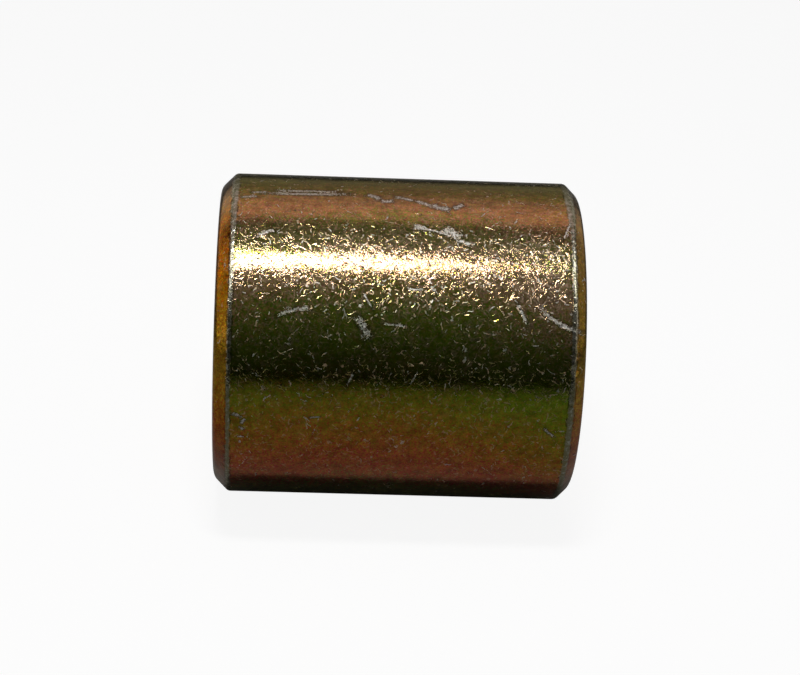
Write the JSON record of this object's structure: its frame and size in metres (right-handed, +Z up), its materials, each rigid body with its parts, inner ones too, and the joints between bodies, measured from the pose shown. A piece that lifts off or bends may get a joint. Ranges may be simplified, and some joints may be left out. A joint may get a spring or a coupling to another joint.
{
  "type": "sleeve bushing",
  "caption": "Plain sleeve bushing: a yellow-passivated steel shell with chamfered ends, and a thin bronze liner pressed into it that carries a shaft.",
  "frame": {"origin": "on the bore axis, midway between the two end faces", "axes": "+X along the bore towards the rear end, so that the lead end with the larger chamfer is at -X; +Z up as the bushing lies on its side"},
  "size_m": [0.0318, 0.0286, 0.0286],
  "materials": {
    "plated_steel": "satin",
    "bronze": "satin"
  },
  "bodies": {
    "root": {"steel_shell": "plated_steel", "bronze_liner": "bronze"}
  },
  "joints": []
}
